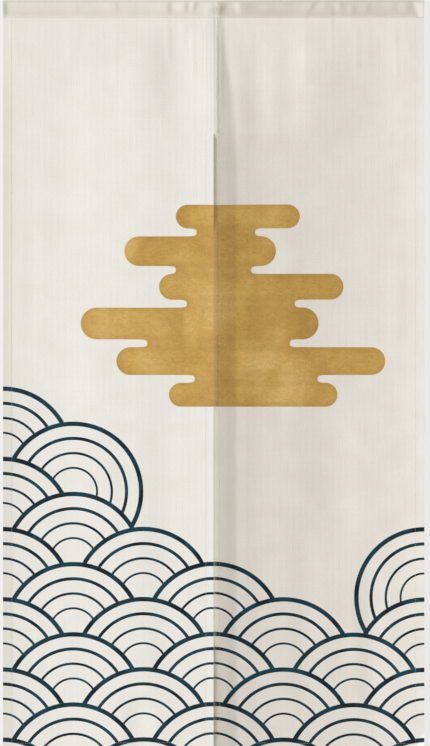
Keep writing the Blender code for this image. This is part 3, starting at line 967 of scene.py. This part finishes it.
def printed_cotton(name, pale, deep, edge_at=None):
    """Cotton and linen plain weave with a pigment print: matt off-white, clouded gold, dark teal lines."""
    material, tree = empty_material(name)
    places, across, up = cloth_places(tree)
    relief, slubs = weave_relief(tree, places)
    colour = cotton_colour(tree, places, slubs, pale, deep)
    mist, inside = mist_cover(tree, across, up)
    gold = gold_ink(tree, places, inside)
    lines = wave_lines(tree, across, up)
    if edge_at is not None:
        # The folded edge beside the slit took little ink, so the print thins out towards it.
        thin, full = edge_at + PRINT_THIN_AT, edge_at + PRINT_FULL_AT
        inked = {"Value": across, "From Min": thin, "From Max": full, "To Min": PRINT_LEAST}
        inked = add_node(tree, "ShaderNodeMapRange", inked)
        mist = add_node(tree, "ShaderNodeMath", {0: mist, 1: inked}, operation="MULTIPLY")
        lines = add_node(tree, "ShaderNodeMath", {0: lines, 1: inked}, operation="MULTIPLY")
    look = {"Factor": mist, "A": colour, "B": gold}
    colour = add_node(tree, "ShaderNodeMix", look, output=2, data_type="RGBA")
    pool = {"Vector": places, "Scale": 24.0, "Detail": 2.0}
    pool = add_node(tree, "ShaderNodeTexNoise", pool)
    teal = ramp(tree, pool, ((0.38, "#031A26"), (0.6, "#0B3C4B")))
    look = {"Factor": lines, "A": colour, "B": teal}
    colour = add_node(tree, "ShaderNodeMix", look, output=2, data_type="RGBA")
    woven_surface(tree, colour, relief, PRINTED_ROUGHNESS)
    return material


def cotton_reverse(name, pale, deep):
    """The unprinted side of the cloth: matt off-white, with the print struck through as a faint tint."""
    material, tree = empty_material(name)
    places, across, up = cloth_places(tree)
    relief, slubs = weave_relief(tree, places)
    colour = cotton_colour(tree, places, slubs, pale, deep)
    mist, _ = mist_cover(tree, across, up)
    faint = add_node(tree, "ShaderNodeMath", {0: mist, 1: GOLD_STRUCK_THROUGH}, operation="MULTIPLY")
    look = {"Factor": faint, "A": colour, "B": to_linear("#D8BE8C")}
    colour = add_node(tree, "ShaderNodeMix", look, output=2, data_type="RGBA")
    lines = wave_lines(tree, across, up)
    faint = add_node(tree, "ShaderNodeMath", {0: lines, 1: TEAL_STRUCK_THROUGH}, operation="MULTIPLY")
    look = {"Factor": faint, "A": colour, "B": to_linear("#6F8A92")}
    colour = add_node(tree, "ShaderNodeMix", look, output=2, data_type="RGBA")
    woven_surface(tree, colour, relief, PLAIN_ROUGHNESS)
    return material


def doubled_cotton_painted_shade(name, pale, deep):
    """The same plain weave folded double: matt, with painted shade. Its colour is a shade deeper, standing
    in for light that comes through single cloth but less through double.
    """
    material, tree = empty_material(name)
    places, _, _ = cloth_places(tree)
    relief, slubs = weave_relief(tree, places)
    colour = cotton_colour(tree, places, slubs, pale, deep)
    woven_surface(tree, colour, relief, PLAIN_ROUGHNESS)
    return material


def spun_thread():
    """Spun polyester sewing thread: off-white, with a soft lustre from its twist."""
    material, tree = empty_material("spun polyester sewing thread")
    places = add_node(tree, "ShaderNodeTexCoord", output=3)
    twist = {"Vector": places, "Scale": 900.0, "Detail": 1.0}
    twist = add_node(tree, "ShaderNodeTexNoise", twist)
    colour = ramp(tree, twist, ((0.35, "#CDC7BB"), (0.65, "#E4DFD6")))
    bump = add_node(tree, "ShaderNodeBump", {"Height": twist, "Strength": 0.3, "Distance": 0.0002})
    look = {"Base Color": colour, "Roughness": 0.6, "IOR": 1.55, "Sheen Weight": 0.1, "Normal": bump}
    surface = add_node(tree, "ShaderNodeBsdfPrincipled", look)
    add_node(tree, "ShaderNodeOutputMaterial", {"Surface": surface})
    return material


def studio_floor():
    """A plain pale floor of matt card, too far below the hem for the camera to see it."""
    deselect_all()
    bpy.ops.mesh.primitive_plane_add(size=FLOOR_SIZE, location=(0.0, 0.0, FLOOR_HEIGHT))
    floor = bpy.context.object
    floor.name = "floor"
    bpy.ops.object.transform_apply(location=True, rotation=True, scale=True)
    material, tree = empty_material("matt studio card")
    look = {"Base Color": to_linear("#E4E1DC"), "Roughness": 0.95}
    surface = add_node(tree, "ShaderNodeBsdfPrincipled", look)
    add_node(tree, "ShaderNodeOutputMaterial", {"Surface": surface})
    floor.data.materials.append(material)


def studio_light():
    """A soft key from the right and a little in front of the cloth."""
    sun = bpy.data.lights.new("key", "SUN")
    sun.energy = KEY_STRENGTH
    sun.angle = np.radians(KEY_WIDE)
    sun.color = KEY_COLOUR
    key = bpy.data.objects.new("key", sun)
    aside = np.radians(KEY_ASIDE)
    up = np.radians(KEY_UP)
    towards = (np.sin(aside) * np.cos(up), -np.cos(aside) * np.cos(up), np.sin(up))
    key.rotation_euler = (np.pi / 2.0 - up, 0.0, aside)
    key.location = tuple(KEY_DISTANCE * part for part in towards)
    bpy.context.collection.objects.link(key)


def pale_room():
    """A room that is brighter behind the cloth than before it, and a shade paler on the left."""
    world = bpy.data.worlds.new("pale room")
    world.use_nodes = True
    tree = world.node_tree
    tree.nodes.clear()
    way = add_node(tree, "ShaderNodeTexCoord", output=0)
    aside = add_node(tree, "ShaderNodeSeparateXYZ", {0: way})
    back = aside.node.outputs[1]
    fall = {"Value": aside, "From Min": -0.08, "From Max": 0.08}
    fall = add_node(tree, "ShaderNodeMapRange", fall)
    look = {"Factor": fall, "A": (0.88, 0.87, 0.85, 1.0), "B": (0.82, 0.81, 0.8, 1.0)}
    wall = add_node(tree, "ShaderNodeMix", look, output=2, data_type="RGBA")
    behind = {"Value": back, "From Min": -0.2, "From Max": 0.75}
    behind = add_node(tree, "ShaderNodeMapRange", behind)
    look = {"Factor": behind, "A": (0.4, 0.382, 0.352, 1.0), "B": wall}
    colour = add_node(tree, "ShaderNodeMix", look, output=2, data_type="RGBA")
    room = add_node(tree, "ShaderNodeBackground", {"Color": colour, "Strength": 1.0})
    add_node(tree, "ShaderNodeOutputWorld", {"Surface": room})
    bpy.context.scene.world = world


def camera():
    """Straight on, level with the middle of the drop, so that the cloth fills the frame."""
    data = bpy.data.cameras.new("camera")
    data.sensor_width = SENSOR
    data.lens = SENSOR * EYE_DISTANCE / SEEN_HEIGHT
    eye = bpy.data.objects.new("camera", data)
    eye.location = (EYE_ACROSS, -EYE_DISTANCE, EYE_HEIGHT)
    eye.rotation_euler = (np.pi / 2.0, 0.0, 0.0)
    bpy.context.collection.objects.link(eye)
    bpy.context.scene.camera = eye


def panels():
    """Both panels, of printed cotton and its reverse; the right panel's copies carry painted shade."""
    left_print = printed_cotton("left printed cotton plain weave", "#E7E4DE", "#E4E1DA")
    # The right panel's copies are painted a shade deeper and warmer than the left's. This is painted shade:
    # the right panel lies darker than the left under the light.
    right_print = printed_cotton("right printed cotton plain weave with painted shade", "#E6E1D9", "#E2DCD3", RIGHT_INNER)
    left_reverse = cotton_reverse("left cotton reverse", "#E5E2DC", "#E1DDD6")
    right_reverse = cotton_reverse("right cotton reverse with painted shade", "#E4DFD7", "#DFD9D0")
    left = woven_panel("left_cloth", LEFT_EDGE, SEAM_X, left_front, left_print, left_reverse)
    right = woven_panel("right_cloth", RIGHT_EDGE, RIGHT_INNER, right_front, right_print, right_reverse)
    return left, right


def pockets():
    """Both halves of the rod pocket, of the same cotton doubled."""
    # Both pockets are painted a shade deeper than the panels, and the right one deeper again, as the right
    # panel is. All of it is painted shade.
    left_double = doubled_cotton_painted_shade("left doubled cotton plain weave with painted shade", "#E3DED5", "#DFD9CF")
    right_double = doubled_cotton_painted_shade("right doubled cotton plain weave with painted shade", "#D8D1C6", "#D4CCC1")
    left = sewn_pocket("left_pocket", LEFT_EDGE, SEAM_X, *LEFT_ENDS, left_double)
    right = sewn_pocket("right_pocket", SEAM_X + PIECE_GAP, RIGHT_EDGE, *RIGHT_ENDS, right_double)
    return left, right


def sewing():
    """The stitches of the left panel, the right panel and the pocket."""
    thread = spun_thread()
    left = stitches("left_sewing", hem_rows(left_front, LEFT_EDGE, SEAM_X) + seam_rows(), thread)
    right = stitches("right_sewing", hem_rows(right_front, RIGHT_EDGE, RIGHT_INNER), thread)
    foot_rows = pocket_rows(LEFT_EDGE, SEAM_X, *LEFT_ENDS)
    foot_rows += pocket_rows(SEAM_X + PIECE_GAP, RIGHT_EDGE, *RIGHT_ENDS)
    return left, right, stitches("pocket_sewing", foot_rows, thread)


def dress():
    """Makes each piece, hangs it under the root and hides the part of the model that it stands in for."""
    left_cloth, right_cloth = panels()
    left_pocket, right_pocket = pockets()
    left_sewing, right_sewing, pocket_sewing = sewing()
    stands_for = (
        (left_cloth, "left_panel"),
        (right_cloth, "right_panel"),
        (left_pocket, "left_heading"),
        (right_pocket, "right_heading"),
    )
    for piece, node in stands_for:
        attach(piece, "root")
        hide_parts(node)
    for piece in (left_sewing, right_sewing, pocket_sewing):
        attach(piece, "root")


bpy.context.scene.view_settings.view_transform = "Standard"
camera()
studio_light()
pale_room()
studio_floor()
dress()
